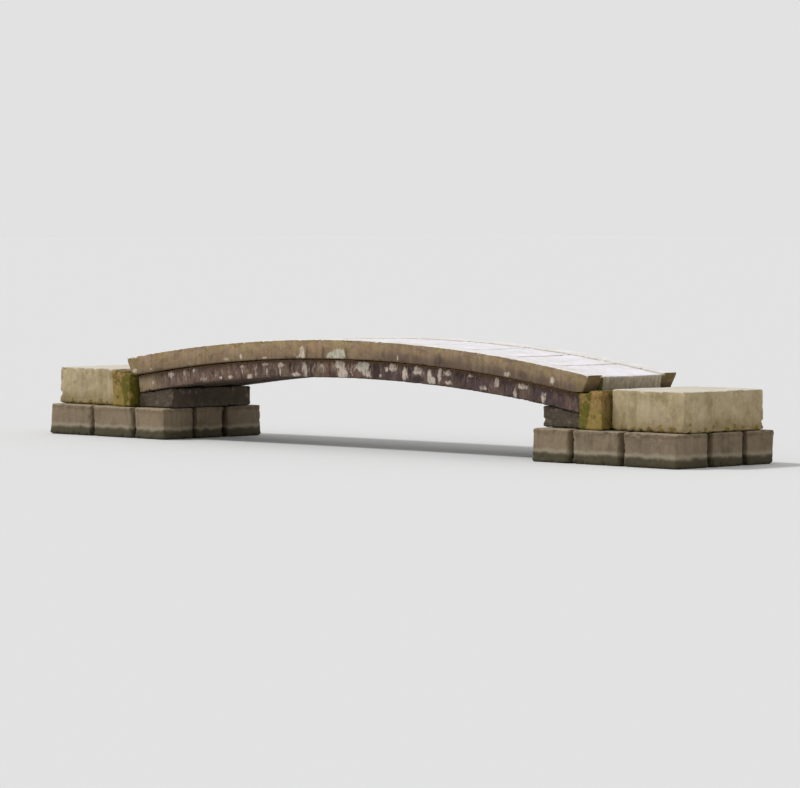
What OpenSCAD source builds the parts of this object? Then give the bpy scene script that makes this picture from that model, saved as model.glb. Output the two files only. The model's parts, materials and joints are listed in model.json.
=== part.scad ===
// Low stone moon bridge for a garden pond.
// Two long kerbs and a row of cross slabs lie on three curved girders, whose
// ends lie on sloping bearing stones. Behind them a rebated end stone carries
// the deck, and a landing stone gives the step up. A course of hewn blocks
// under each end runs down to the water line.
// Frame: +X along the bridge, +Y to its back, +Z up, in millimetres, with the
// origin at the middle of the bridge on the water line.

/* [Deck] */
// Length of the deck along the ground
deck_len = 5660; // [5200:20:6000]
// Width of the deck over both kerbs
deck_w = 1040; // [1000:10:1080]
// Height of the top of the crown above the water line
crown_h = 930; // [900:5:1000]
// How far the crown rises above the ends of the deck
deck_rise = 225; // [190:5:240]

/* [Kerbs] */
// Width of a kerb across the deck
kerb_w = 170; // [150:10:190]
// Depth of a kerb
kerb_t = 170; // [150:5:190]
// Slope of the kerb ends from upright, longer at the top
kerb_splay = 28; // [10:1:32]
// Radius of the worn edges of kerbs and girders
worn_edge = 12; // [6:1:18]

/* [Deck slabs] */
// Number of cross slabs between the kerbs
slab_count = 11; // [9:1:13]
// How far the slabs lie below the top of the kerbs
slab_drop = 12; // [4:1:25]
// Open joint between two slabs
slab_joint = 6; // [3:1:10]
// Slope cut along the upper edges of a slab
slab_edge = 7; // [3:1:12]

/* [Girders] */
// Width of a girder
girder_w = 220; // [200:10:250]
// Depth of a girder
girder_t = 160; // [150:5:180]
// How far the girder face lies behind the kerb face
girder_setback = 35; // [20:5:50]
// Distance from the end of the deck to the end of a girder
girder_inset = 120; // [90:10:150]
// Slope of the girder ends from upright, longer at the top
girder_splay = 8; // [0:1:16]

/* [Abutments] */
// Length of a bearing stone along the bridge
bearing_len = 460; // [420:10:500]
// Depth of a bearing stone at its landward end
bearing_t = 115; // [100:5:140]
// How far the bearing stone lies behind the girder face
bearing_setback = 12; // [4:1:30]
// Length of the end stone that carries the deck end
end_stone_len = 270; // [250:5:320]
// Width of the end stone across the bridge
end_stone_w = 1120; // [1100:10:1140]
// Height of the end stone's shoulder above the ledge under the deck
shoulder_h = 30; // [20:5:60]
// Length of a landing stone along the bridge
landing_len = 810; // [700:10:900]
// Width of a landing stone across the bridge
landing_w = 960; // [900:10:1040]
// Step from the landing up to the end of the deck
landing_step = 95; // [70:5:120]

/* [Block course] */
// Width of the course of blocks across the bridge
course_w = 1200; // [1190:10:1240]
// Length of the row of blocks nearest the water
water_row_len = 440; // [400:10:480]
// Length of the row of blocks behind it
side_row_len = 560; // [500:10:620]
// How far the course stands out past the stones on it, at both ends
course_lip = 20; // [10:5:30]
// Open joint between two blocks
block_joint = 8; // [4:1:14]

/* [Hidden] */
$fn = 720;

// The deck's top line is an arc through its two ends and its crown
arc_r = (deck_len * deck_len / 4 + deck_rise * deck_rise) / (2 * deck_rise);
arc_centre_z = crown_h - arc_r;
kerb_under_r = arc_r - kerb_t;
girder_under_r = kerb_under_r - girder_t;
slab_top_r = arc_r - slab_drop;
deck_end_angle = asin(deck_len / 2 / arc_r);

// Open joints: past a girder's end, behind the bearing stone, past the deck's
// end, behind the end stone, and beside the slabs
girder_end_joint = 10;
bearing_joint = 5;
deck_end_joint = 20;
landing_joint = 10;
slab_side_joint = 2;

// Stone taken off under a deck end to give it a level seat
ledge_trim = 30;

// Bevel and lean of the hewn stones
BEARING_HEW = [14, 6];
END_STONE_HEW = [22, 10];
LANDING_HEW = [18, 7];
BLOCK_HEW = [34, 20];

// Stations along the bridge, outwards from the middle
deck_end_x = deck_len / 2;
girder_end_x = deck_end_x - girder_inset;
bearing_out_x = girder_end_x + girder_end_joint;
bearing_in_x = bearing_out_x - bearing_len;
end_stone_in_x = bearing_out_x + bearing_joint;
end_stone_out_x = end_stone_in_x + end_stone_len;
shoulder_x = deck_end_x + deck_end_joint;
landing_in_x = end_stone_out_x + landing_joint;
landing_out_x = landing_in_x + landing_len;
course_in_x = bearing_in_x - course_lip;
course_out_x = landing_out_x + course_lip;
side_row_x = course_in_x + water_row_len;
land_row_x = side_row_x + side_row_len;
girder_foot_x = girder_end_x - girder_t * tan(girder_splay);

// Levels above the water line
deck_end_z = crown_h - deck_rise;
girder_end_z = arc_z(kerb_under_r, girder_end_x);
girder_foot_z = arc_z(girder_under_r, girder_foot_x);
bearing_top_z = arc_z(girder_under_r, bearing_in_x);
course_h = arc_z(girder_under_r, bearing_out_x) - bearing_t;
ledge_z = arc_z(kerb_under_r, deck_end_x) + ledge_trim;
end_stone_z = ledge_z + shoulder_h;
landing_z = deck_end_z - landing_step;

// Angles from upright, seen from the centre of curvature, and the bearing's slope
girder_foot_angle = asin(girder_foot_x / girder_under_r);
bearing_slope = atan2(bearing_top_z - girder_foot_z, girder_foot_x - bearing_in_x);

// Lines across the bridge
outer_kerb_y = deck_w / 2 - kerb_w / 2;
outer_girder_y = deck_w / 2 - girder_setback - girder_w / 2;
slab_w = deck_w - 2 * (kerb_w + slab_side_joint);
bearing_w = deck_w - 2 * (girder_setback + bearing_setback);

// Plain distance past a solid, for cutters, and angles that a beam is drawn past its ends
past = 800;
kerb_spare = 1.47;
girder_spare = 0.1;

SIDES = ["left", "right"];
UPPER_STONES = ["bearing_stone", "end_stone", "landing_stone"];
// Blocks of the course: name, row along the bridge, and span as shares of its width
BLOCKS = [
    ["water_block_front", 0, 0, 0.34],
    ["water_block_middle", 0, 0.34, 0.63],
    ["water_block_back", 0, 0.63, 1],
    ["side_block_front", 1, 0, 0.54],
    ["side_block_back", 1, 0.54, 1],
    ["land_block_front", 2, 0, 0.36],
    ["land_block_middle", 2, 0.36, 0.7],
    ["land_block_back", 2, 0.7, 1],
];
ROW_X = [course_in_x, side_row_x, land_row_x, course_out_x];

// Height of an arc about the bridge's centre of curvature, at x along it
function arc_z(r, x) = arc_centre_z + sqrt(r * r - x * x);

// Point of that arc at an angle from upright, as [x, z]
function arc_point(r, a) = [r * sin(a), arc_centre_z + r * cos(a)];

// Quarter turn of an edge about its centre, from a starting angle
function edge_turn(centre, r, from, steps = 4) =
    [for (k = [0 : steps]) centre + r * [cos(from + 90 * k / steps), sin(from + 90 * k / steps)]];

// Section of a beam, between two radii and centred across, with worn edges
function beam_section(r_in, r_out, w, edge) = concat(
    edge_turn([r_out - edge, w / 2 - edge], edge, 0),
    edge_turn([r_in + edge, w / 2 - edge], edge, 90),
    edge_turn([r_in + edge, edge - w / 2], edge, 180),
    edge_turn([r_out - edge, edge - w / 2], edge, 270)
);

// Span along x on one side of the bridge, lowest first
function span_x(side, x_in, x_out) = side == "right" ? [x_in, x_out] : [-x_out, -x_in];

// The three points that cut off one corner of a hewn block. The face points lean
// inwards by lean_x and lean_y, and the bed point stays on the level bed.
function hewn_corner(corner, inwards, cut, lean_x, lean_y) = [
    corner + [inwards.x * lean_x, inwards.y * cut, inwards.z * cut],
    corner + [inwards.x * cut, inwards.y * lean_y, inwards.z * cut],
    corner + [inwards.x * cut, inwards.y * cut, 0],
];

// A roughly squared stone between two corners, with a hew of [bevel, lean]. Its
// beds are level, its other faces lean, and one corner keeps the full size.
module hewn_block(low, high, hew, seed) {
    lean_x = rands(0, hew[1], 8, seed);
    lean_y = rands(0, hew[1], 8, seed + 1);
    cut = rands(0.7 * hew[0], 1.3 * hew[0], 8, seed + 2);
    points = [
        for (ix = [0, 1], iy = [0, 1], iz = [0, 1])
            let (k = 4 * ix + 2 * iy + iz)
                each hewn_corner(
                    [ix == 0 ? low.x : high.x, iy == 0 ? low.y : high.y, iz == 0 ? low.z : high.z],
                    [1 - 2 * ix, 1 - 2 * iy, 1 - 2 * iz],
                    cut[k],
                    iy + iz == 0 ? 0 : lean_x[k],
                    ix + iz == 0 ? 0 : lean_y[k]
                )
    ];
    hull() polyhedron(points = points, faces = [[for (k = [0 : len(points) - 1]) k]]);
}

// A beam that follows the bridge's curve, between two angles from upright
module curved_beam(r_out, depth, w, from, to) {
    translate([0, 0, arc_centre_z])
        rotate([90, 0, 0])
            rotate([0, 0, 90 - to])
                rotate_extrude(angle = to - from)
                    polygon(beam_section(r_out - depth, r_out, w, worn_edge));
}

// Everything past an end plane that leans outwards, on the right-hand end
module end_cutter(x, z, splay) {
    translate([x, 0, z])
        rotate([0, splay, 0])
            translate([0, -deck_w / 2, -past])
                cube([past, deck_w, 2 * past]);
}

// Everything below a level seat, from x outwards on the right-hand end
module seat_cutter(x, z) {
    translate([x, -deck_w / 2, z - past])
        cube([2 * past, deck_w, past]);
}

// Both ends of what is drawn for the right-hand end
module both_ends() {
    children();
    mirror([1, 0, 0]) children();
}

module kerb(y) {
    end_angle = deck_end_angle + kerb_spare;
    color([0.53, 0.46, 0.37])
        translate([0, y, 0])
            difference() {
                curved_beam(arc_r, kerb_t, kerb_w, -end_angle, end_angle);
                both_ends() {
                    end_cutter(deck_end_x, deck_end_z, kerb_splay);
                    seat_cutter(bearing_in_x, ledge_z);
                }
            }
}

// A flat slab with its joints square to the curve. Its bed is a plane that
// touches the round backs of the girders along its middle.
module deck_slab(i) {
    pitch = 2 * deck_end_angle / slab_count;
    half_joint = slab_joint / 2 / slab_top_r * 180 / PI;
    easing = slab_edge / slab_top_r * 180 / PI;
    from = -deck_end_angle + (i - 1) * pitch + (i == 1 ? 0 : half_joint);
    to = -deck_end_angle + i * pitch - (i == slab_count ? 0 : half_joint);
    bed_r = kerb_under_r / cos((to - from) / 2);
    color([0.86, 0.85, 0.82])
        difference() {
            rotate([90, 0, 0])
                linear_extrude(height = slab_w, center = true)
                    polygon([
                        arc_point(slab_top_r, from + easing),
                        arc_point(slab_top_r - slab_edge, from),
                        arc_point(bed_r, from),
                        arc_point(bed_r, to),
                        arc_point(slab_top_r - slab_edge, to),
                        arc_point(slab_top_r, to - easing),
                    ]);
            both_ends() seat_cutter(bearing_in_x, ledge_z);
        }
}

// A girder, swept from the crown to each of its feet
module girder(y) {
    color([0.38, 0.32, 0.27])
        translate([0, y, 0])
            difference() {
                both_ends() curved_beam(kerb_under_r, girder_t, girder_w, 0, girder_foot_angle + girder_spare);
                both_ends() end_cutter(girder_end_x, girder_end_z, girder_splay);
            }
}

// Everything above the bearing's slope on the right-hand end. The slope is the chord of
// the girders' underside, so that they touch it at its inner edge and at their feet.
module bearing_cutter() {
    translate([bearing_in_x, 0, bearing_top_z])
        rotate([0, bearing_slope, 0])
            translate([-past / 2, -deck_w / 2, 0])
                cube([past + bearing_len, deck_w, past]);
}

module bearing_stone(side, seed) {
    x = span_x(side, bearing_in_x, bearing_out_x);
    color([0.47, 0.42, 0.35])
        difference() {
            hewn_block(
                [x[0], -bearing_w / 2, course_h],
                [x[1], bearing_w / 2, bearing_top_z],
                BEARING_HEW, seed
            );
            both_ends() bearing_cutter();
        }
}

// The stone behind the girder ends, with a rebate under the end of the deck
module end_stone(side, seed) {
    x = span_x(side, end_stone_in_x, end_stone_out_x);
    rebate = span_x(side, end_stone_in_x - past, shoulder_x);
    color([0.44, 0.41, 0.22])
        difference() {
            hewn_block(
                [x[0], -end_stone_w / 2, course_h],
                [x[1], end_stone_w / 2, end_stone_z],
                END_STONE_HEW, seed
            );
            translate([rebate[0], -deck_w, ledge_z])
                cube([rebate[1] - rebate[0], 2 * deck_w, past]);
        }
}

module landing_stone(side, seed) {
    x = span_x(side, landing_in_x, landing_out_x);
    color([0.66, 0.60, 0.47])
        hewn_block([x[0], -landing_w / 2, course_h], [x[1], landing_w / 2, landing_z], LANDING_HEW, seed);
}

module course_block(side, block, seed) {
    row = block[1];
    x = span_x(side, ROW_X[row], ROW_X[row + 1] - (row == 2 ? 0 : block_joint));
    y_from = -course_w / 2 + block[2] * course_w;
    y_to = -course_w / 2 + block[3] * course_w - (block[3] == 1 ? 0 : block_joint);
    color([0.50, 0.43, 0.37])
        hewn_block([x[0], y_from, 0], [x[1], y_to, course_h], BLOCK_HEW, seed);
}

kerb(-outer_kerb_y);  // front_kerb
kerb(outer_kerb_y);  // back_kerb
for (i = [1 : slab_count])
    deck_slab(i);
girder(-outer_girder_y);  // front_girder
girder(0);  // middle_girder
girder(outer_girder_y);  // back_girder
for (s = [0, 1]) {
    side = SIDES[s];
    bearing_stone(side, 11 + 40 * s);
    end_stone(side, 15 + 40 * s);
    landing_stone(side, 19 + 40 * s);
    for (b = [0 : len(BLOCKS) - 1])
        course_block(side, BLOCKS[b], 100 + 100 * s + 5 * b);
}
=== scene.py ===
# %% [markdown]
# # A low stone moon bridge
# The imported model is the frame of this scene. It fixes every size and place in metres, with +X along the
# bridge, +Y to its back, +Z up, and the origin in the middle of the bridge on the water line.
# The whole bridge is stone, so the lesson is how a plain block becomes a weathered stone. Each stone is
# modelled simply, given an even skin of small faces, worn by displacement, and finished with a material
# whose stains, lichen and moss sit where rain and shade would put them.

# %% Load the frame
import json
import math
import random

import bmesh
import bpy
import numpy as np
from mathutils import Matrix, Vector

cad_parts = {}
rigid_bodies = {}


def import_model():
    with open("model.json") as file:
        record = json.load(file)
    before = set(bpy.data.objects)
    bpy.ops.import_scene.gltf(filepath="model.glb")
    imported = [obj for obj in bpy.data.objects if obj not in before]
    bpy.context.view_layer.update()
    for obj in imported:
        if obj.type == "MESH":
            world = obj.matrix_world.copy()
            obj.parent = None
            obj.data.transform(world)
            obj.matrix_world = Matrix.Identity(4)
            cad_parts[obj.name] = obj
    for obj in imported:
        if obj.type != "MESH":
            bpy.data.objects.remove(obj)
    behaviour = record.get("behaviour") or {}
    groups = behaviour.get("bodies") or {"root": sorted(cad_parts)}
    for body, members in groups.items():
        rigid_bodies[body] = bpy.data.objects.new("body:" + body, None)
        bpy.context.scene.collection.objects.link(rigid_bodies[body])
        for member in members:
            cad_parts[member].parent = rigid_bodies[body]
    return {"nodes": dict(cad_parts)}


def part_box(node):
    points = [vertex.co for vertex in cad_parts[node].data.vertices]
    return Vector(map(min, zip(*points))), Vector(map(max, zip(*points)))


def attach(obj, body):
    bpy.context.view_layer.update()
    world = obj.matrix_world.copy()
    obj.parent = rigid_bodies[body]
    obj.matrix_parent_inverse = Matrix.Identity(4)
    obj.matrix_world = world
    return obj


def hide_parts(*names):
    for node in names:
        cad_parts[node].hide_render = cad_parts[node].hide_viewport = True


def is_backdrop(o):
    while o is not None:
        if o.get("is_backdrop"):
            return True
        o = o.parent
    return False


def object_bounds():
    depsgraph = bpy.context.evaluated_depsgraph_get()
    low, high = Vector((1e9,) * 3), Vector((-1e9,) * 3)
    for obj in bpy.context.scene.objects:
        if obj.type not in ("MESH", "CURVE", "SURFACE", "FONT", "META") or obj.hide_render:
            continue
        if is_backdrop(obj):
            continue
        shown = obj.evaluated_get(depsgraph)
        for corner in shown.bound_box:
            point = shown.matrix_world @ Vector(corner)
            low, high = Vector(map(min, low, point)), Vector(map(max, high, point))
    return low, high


for leftover in list(bpy.data.objects):
    bpy.data.objects.remove(leftover)
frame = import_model()
cad_low, cad_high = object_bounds()
BODY = "root"
SIDES = {"left": -1, "right": 1}
print("frame:", len(frame["nodes"]), "stones, box", tuple(cad_low), tuple(cad_high))

# %% [markdown]
# ## The curve of the bridge
# Kerbs, slabs and girders share one centre of curvature, far below the water. The radius of an arc follows
# from its half width and its rise, so both are measured on the front kerb: its crown is its highest point,
# and its tip is where the deck ends. A ray sent straight up from the water finds the underside of a girder.

# %% Measure the curve
kerb_corners = [v.co for v in frame["nodes"]["front_kerb"].data.vertices]
kerb_tip = max(kerb_corners, key=lambda p: (round(p.x, 4), p.z))
kerb_low, kerb_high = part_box("front_kerb")
girder_low, girder_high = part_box("front_girder")
rise = kerb_high.z - kerb_tip.z
DECK_RADIUS = (kerb_tip.x**2 + rise**2) / (2 * rise)
CENTRE_Z = kerb_high.z - DECK_RADIUS
KERB_DEPTH = kerb_high.z - girder_high.z
GIRDER_RADIUS = DECK_RADIUS - KERB_DEPTH
_, under_girder, _, _ = frame["nodes"]["front_girder"].ray_cast(
    Vector((0, (girder_low.y + girder_high.y) / 2, 0)), Vector((0, 0, 1))
)
GIRDER_DEPTH = girder_high.z - under_girder.z
UNDER_RADIUS = GIRDER_RADIUS - GIRDER_DEPTH
DECK_ANGLE = math.asin(kerb_tip.x / DECK_RADIUS)
print(f"radius {DECK_RADIUS:.2f} m, kerb {KERB_DEPTH:.3f} m and girder {GIRDER_DEPTH:.3f} m deep")

# %% [markdown]
# ## Helpers for modelling by hand
# Blender's operators act on whatever is selected, and a freshly loaded frame is selected all over. So each
# step first deselects everything, and then picks its faces in code, by their place.

# %% Select, edit and cut
def select_only(piece):
    """Makes this piece the only selected one, and the active one."""
    bpy.ops.object.select_all(action="DESELECT")
    piece.select_set(True)
    bpy.context.view_layer.objects.active = piece


def set_place(piece):
    """Moves the piece's place, turn and size into its mesh, so that its object sits at the origin."""
    select_only(piece)
    bpy.ops.object.transform_apply(location=True, rotation=True, scale=True)


def edit(piece, select="SELECT"):
    """Enters edit mode on the piece, with everything or nothing selected."""
    select_only(piece)
    bpy.ops.object.mode_set(mode="EDIT")
    bpy.ops.mesh.select_all(action=select)


def leave_edit():
    """Turns the faces outwards and goes back to object mode."""
    bpy.ops.mesh.select_all(action="SELECT")
    bpy.ops.mesh.normals_make_consistent(inside=False)
    bpy.ops.object.mode_set(mode="OBJECT")


def cut_away(point, towards):
    """In edit mode, cuts the whole mesh by a plane, closes the cut and drops what lies towards."""
    bpy.ops.mesh.select_all(action="SELECT")
    bpy.ops.mesh.bisect(plane_co=point, plane_no=towards, use_fill=True, clear_outer=True)


def stone_box(name, low, high):
    """A box between two corners, added at its size and place."""
    bpy.ops.object.select_all(action="DESELECT")
    bpy.ops.mesh.primitive_cube_add(size=1, location=(low + high) / 2, scale=high - low)
    stone = bpy.context.object
    stone.name = stone.data.name = name
    set_place(stone)
    return stone


# %% [markdown]
# ## Wear
# A stone loses material and never gains any, so every displacement here goes inwards. First a voxel remesh
# gives the stone an even skin, which also softens its edges as frost and feet do. Then clouds of noise
# lower the skin: broad ones for the hewn or sawn surface, and small sparse ones that chip only the edges.
# Sculpting would do as well, but noise wears each stone in its own way, and the same way on each run.

# %% Skin and wear
def even_skin(stone, cell):
    """Covers the stone with small square faces of one size."""
    select_only(stone)
    remesh = stone.modifiers.new("even skin", "REMESH")
    remesh.mode = "VOXEL"
    remesh.voxel_size = cell
    bpy.ops.object.modifier_apply(modifier=remesh.name)


def places_of(stone):
    """The stone's vertices as rows of x, y and z."""
    places = np.empty(len(stone.data.vertices) * 3, np.float32)
    stone.data.vertices.foreach_get("co", places)
    return places.reshape(-1, 3)


def remember(stone, name, values):
    """Keeps one number for each vertex, which a material reads by this name."""
    layer = stone.data.attributes.new(name, "FLOAT", "POINT")
    layer.data.foreach_set("value", np.asarray(values, np.float32))


def remember_wear(stone, skin):
    """Keeps how many centimetres each vertex lies below the skin that the stone began with."""
    remember(stone, "lowered", 100 * np.linalg.norm(places_of(stone) - skin, axis=1))


def mark(stone, name, shares, levels=20):
    """Keeps a share from 0 to 1 for each vertex in a vertex group, which a modifier can read."""
    group = stone.vertex_groups.new(name=name)
    steps = np.round(shares * levels).astype(int)
    for step in np.unique(steps):
        group.add(np.flatnonzero(steps == step).tolist(), step / levels, "REPLACE")
    return group.name


def near_an_edge(distances, reach):
    """How near each vertex is to an edge, from its distances to the stone's faces: 1 on it, 0 past reach."""
    second_nearest = np.sort(distances, axis=0)[1]
    return np.clip(1 - second_nearest / reach, 0, 1)


def box_distances(places):
    """Each vertex's distance to the six sides of its stone's box."""
    low, high = places.min(axis=0), places.max(axis=0)
    return np.vstack([(places - low).T, (high - places).T])


def beam_distances(places, outer_radius, depth):
    """Each vertex's distance to the top, the underside and the two faces of a curved beam."""
    radius = np.hypot(places[:, 0], places[:, 2] - CENTRE_Z)
    y = places[:, 1]
    return np.abs(np.vstack([outer_radius - radius, radius - outer_radius + depth, y - y.min(), y.max() - y]))


# %% Noise that wears stone
def cloud(name, size, basis="BLENDER_ORIGINAL", depth=3, sparse=None, fade=0.14):
    """A noise of one grain size. Where sparse is given, only its peaks past that share are left."""
    texture = bpy.data.textures.new(name, "CLOUDS")
    texture.noise_scale = size
    texture.noise_basis = basis
    texture.noise_depth = depth
    if sparse is not None:
        texture.use_color_ramp = True
        first, last = texture.color_ramp.elements
        first.position, first.color = sparse, (0, 0, 0, 1)
        last.position, last.color = min(sparse + fade, 1), (1, 1, 1, 1)
    return texture


def wear(stone, texture, depth, group=""):
    """Lowers the skin by up to depth where the texture is bright."""
    select_only(stone)
    displace = stone.modifiers.new("wear", "DISPLACE")
    displace.texture = texture
    displace.texture_coords = "LOCAL"
    displace.mid_level = 0
    displace.strength = -depth
    displace.vertex_group = group
    bpy.ops.object.modifier_apply(modifier=displace.name)


SAG = cloud("sag of a long surface", 0.45, depth=1)
HEWN = cloud("hewn face", 0.16, basis="VORONOI_F1", depth=2)
SPLIT = cloud("split face", 0.30, basis="IMPROVED_PERLIN", depth=4)
RUB = cloud("rubbed surface", 0.035, depth=2)
CHIP = cloud("chips", 0.055, basis="IMPROVED_PERLIN", depth=3, sparse=0.56)
print("noises:", len(bpy.data.textures))

# %% [markdown]
# ## Kerbs and girders
# Each of these five beams is one long stone on the bridge's curve. A mason would draw its section and carry
# it round the arc, and so does spin. Straight pieces set end to end would show joints that the real beams
# don't have. The ends are then sawn off, and lean outwards at the top, a kerb's more than a girder's. A level
# cut below gives a kerb its seat on the end stone, because the curve dips under that level only near its
# ends. A girder keeps its full depth, and only its feet touch the cut.

# %% Carry a section round the curve
WORN_EDGE = 0.012
SPARE_ANGLE = math.radians(0.4)
BEAM_STEPS = 96


def beam_section(name, y, outer_radius, depth, width):
    """The section of a beam at the crown, standing across the bridge, with its corners eased."""
    bpy.ops.object.select_all(action="DESELECT")
    middle = Vector((0, y, CENTRE_Z + outer_radius - depth / 2))
    bpy.ops.mesh.primitive_plane_add(size=1, location=middle, rotation=(0, math.pi / 2, 0))
    section = bpy.context.object
    section.name = section.data.name = name
    section.scale = (depth, width, 1)
    set_place(section)
    edit(section)
    bpy.ops.mesh.bevel(offset=WORN_EDGE, segments=3, affect="VERTICES")
    return section


def spin_round(y):
    """Turns the section to the left end of the curve, and spins it to the right end."""
    centre = (0, y, CENTRE_Z)
    half_turn = DECK_ANGLE + SPARE_ANGLE
    bpy.ops.mesh.select_all(action="SELECT")
    bpy.ops.transform.rotate(value=half_turn, orient_axis="Y", center_override=centre)
    bpy.ops.mesh.spin(steps=BEAM_STEPS, angle=-2 * half_turn, center=centre, axis=(0, 1, 0))


def curved_beam(node, outer_radius, depth, end_x, splay):
    """One beam as long, as wide and as level under its ends as its CAD node."""
    low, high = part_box(node)
    y = (low.y + high.y) / 2
    beam = beam_section(f"{node}_weathered", y, outer_radius, depth, high.y - low.y)
    spin_round(y)
    tip_z = CENTRE_Z + math.sqrt(outer_radius**2 - end_x**2)
    for side in (-1, 1):
        cut_away((side * end_x, y, tip_z), (side * math.cos(splay), 0, -math.sin(splay)))
    cut_away((0, y, low.z), (0, 0, -1))
    leave_edit()
    return beam


KERB_SPLAY = math.radians(28)
GIRDER_SPLAY = math.radians(8)
kerbs = [
    curved_beam(node, DECK_RADIUS, KERB_DEPTH, kerb_tip.x, KERB_SPLAY)
    for node in ("front_kerb", "back_kerb")
]
girders = [
    curved_beam(node, GIRDER_RADIUS, GIRDER_DEPTH, girder_high.x, GIRDER_SPLAY)
    for node in ("front_girder", "middle_girder", "back_girder")
]
for beam in kerbs + girders:
    print(beam.name, "is", round(beam.dimensions.x, 3), "m long")

# %% [markdown]
# The beams were dressed with care, so they keep their outline. Frost has chipped their edges here and there,
# a long stone is never quite straight, and the tool marks are rubbed almost away. No face loses more than
# 8 mm, because the stones lie on each other.

# %% Wear the beams
BEAM_CELL = 0.011


def weather_beam(beam, outer_radius, depth):
    """Gives a beam its skin, and wears its faces a little and its edges more."""
    even_skin(beam, BEAM_CELL)
    skin = places_of(beam)
    edges = near_an_edge(beam_distances(skin, outer_radius, depth), reach=0.035)
    wear(beam, SAG, 0.005)
    wear(beam, RUB, 0.003)
    wear(beam, CHIP, 0.016, mark(beam, "edges", edges))
    remember_wear(beam, skin)


for kerb in kerbs:
    weather_beam(kerb, DECK_RADIUS, KERB_DEPTH)
for girder in girders:
    weather_beam(girder, GIRDER_RADIUS, GIRDER_DEPTH)
print("faces of one kerb:", len(kerbs[0].data.polygons))

# %% [markdown]
# ## Deck slabs
# All slabs are alike, so one is modelled at the crown and copied round the curve. Its joints are square to
# the curve, which makes it a very blunt wedge, wider at the top. The two end slabs lie on the ledge of an
# end stone, so they are cut level there.

# %% Model one slab and copy it round
SLAB_JOINT = 0.006
SLAB_EASING = 0.007
slab_low, slab_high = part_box("deck_slab_6")
slab_nodes = sorted((n for n in frame["nodes"] if n.startswith("deck_slab_")), key=lambda n: int(n[10:]))
SLAB_PITCH = 2 * DECK_ANGLE / len(slab_nodes)
ledge_z = kerb_low.z


def crown_slab():
    """The slab at the crown, with its joints square to the curve and its upper edges eased."""
    slab = stone_box("slab", slab_low, slab_high)
    half_angle = (SLAB_PITCH - SLAB_JOINT / DECK_RADIUS) / 2
    edit(slab, select="DESELECT")
    mesh = bmesh.from_edit_mesh(slab.data)
    for vertex in mesh.verts:
        vertex.co.x = math.copysign((vertex.co.z - CENTRE_Z) * math.tan(half_angle), vertex.co.x)
    for edge in mesh.edges:
        edge.select_set(all(v.co.z > slab_high.z - 0.001 for v in edge.verts))
    bmesh.update_edit_mesh(slab.data)
    bpy.ops.mesh.bevel(offset=SLAB_EASING, segments=2, affect="EDGES")
    leave_edit()
    return slab


def round_the_curve(angle):
    """The turn about the centre of curvature that carries a thing from the crown to an angle along it."""
    to_centre = Matrix.Translation((0, 0, CENTRE_Z))
    return to_centre @ Matrix.Rotation(angle, 4, "Y") @ to_centre.inverted()


def copy_slab(slab, node, number):
    """A copy of the crown slab with its own mesh, turned to its place, and cut level over the ledge."""
    copy = slab.copy()
    copy.data = slab.data.copy()
    copy.name = copy.data.name = f"{node}_weathered"
    bpy.context.collection.objects.link(copy)
    copy.data.transform(round_the_curve(-DECK_ANGLE + (number + 0.5) * SLAB_PITCH))
    edit(copy)
    cut_away((0, 0, ledge_z), (0, 0, -1))
    leave_edit()
    return copy


pattern_slab = crown_slab()
slabs = [copy_slab(pattern_slab, node, number) for number, node in enumerate(slab_nodes)]
bpy.data.objects.remove(pattern_slab)
print("slabs:", len(slabs), "each about", round(slab_high.x - slab_low.x, 3), "m long")

# %% [markdown]
# Feet wear a deck along its middle, so each slab is dished by a few millimetres there. The tops keep a faint
# trace of the chisel, and the joints between the slabs have chipped edges.

# %% Wear the slabs
SLAB_CELL = 0.014
DISH_DEPTH = 0.004
DISH_HALF_WIDTH = 0.22
TOP_REACH = 0.03


def dish(slab):
    """Lowers the middle of the slab's top in a shallow trough along the path."""
    places = places_of(slab)
    radius = np.hypot(places[:, 0], places[:, 2] - CENTRE_Z)
    on_top = np.clip((radius - radius.max() + TOP_REACH) / TOP_REACH, 0, 1)
    trough = np.exp(-((places[:, 1] / DISH_HALF_WIDTH) ** 2))
    places[:, 2] -= DISH_DEPTH * on_top * trough
    slab.data.vertices.foreach_set("co", places.ravel())


def weather_slab(slab, number):
    """Gives a slab its skin, its dish, and chipped joints."""
    even_skin(slab, SLAB_CELL)
    level = round_the_curve(DECK_ANGLE - (number + 0.5) * SLAB_PITCH)
    slab.data.transform(level)
    edges = near_an_edge(box_distances(places_of(slab)), reach=0.03)
    slab.data.transform(level.inverted())
    skin = places_of(slab)
    wear(slab, RUB, 0.0025)
    wear(slab, CHIP, 0.012, mark(slab, "edges", edges))
    remember_wear(slab, skin)
    dish(slab)


for number, slab in enumerate(slabs):
    weather_slab(slab, number)
print("faces of one slab:", len(slabs[5].data.polygons))

# %% [markdown]
# ## Hewn stones
# The stones of the two ends were split and squared by eye. Each starts as a box, its corners move inwards a
# little, each its own way, and its edges are knocked off. Noise alone would leave it looking like a melted
# box, so the split faces get their hollows only then. The beds carry the next stone, and are left out of the
# deeper wear.

# %% Hew a block
def lean_corners(stone, lean, seed):
    """Moves each corner of the box inwards by up to lean, along and across the bridge."""
    draw = random.Random(seed)
    corners = stone.data.vertices
    middle = sum((corner.co for corner in corners), Vector()) / len(corners)
    for vertex in corners:
        vertex.co.x -= math.copysign(draw.uniform(0, lean), vertex.co.x - middle.x)
        vertex.co.y -= math.copysign(draw.uniform(0, lean), vertex.co.y - middle.y)


def hewn_box(node, lean, bevel, seed):
    """A roughly squared stone as large as its CAD node."""
    stone = stone_box(f"{node}_weathered", *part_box(node))
    lean_corners(stone, lean, seed)
    edit(stone)
    bpy.ops.mesh.bevel(offset=bevel, segments=2, affect="EDGES")
    leave_edit()
    return stone


BED_REACH = 0.045


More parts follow.
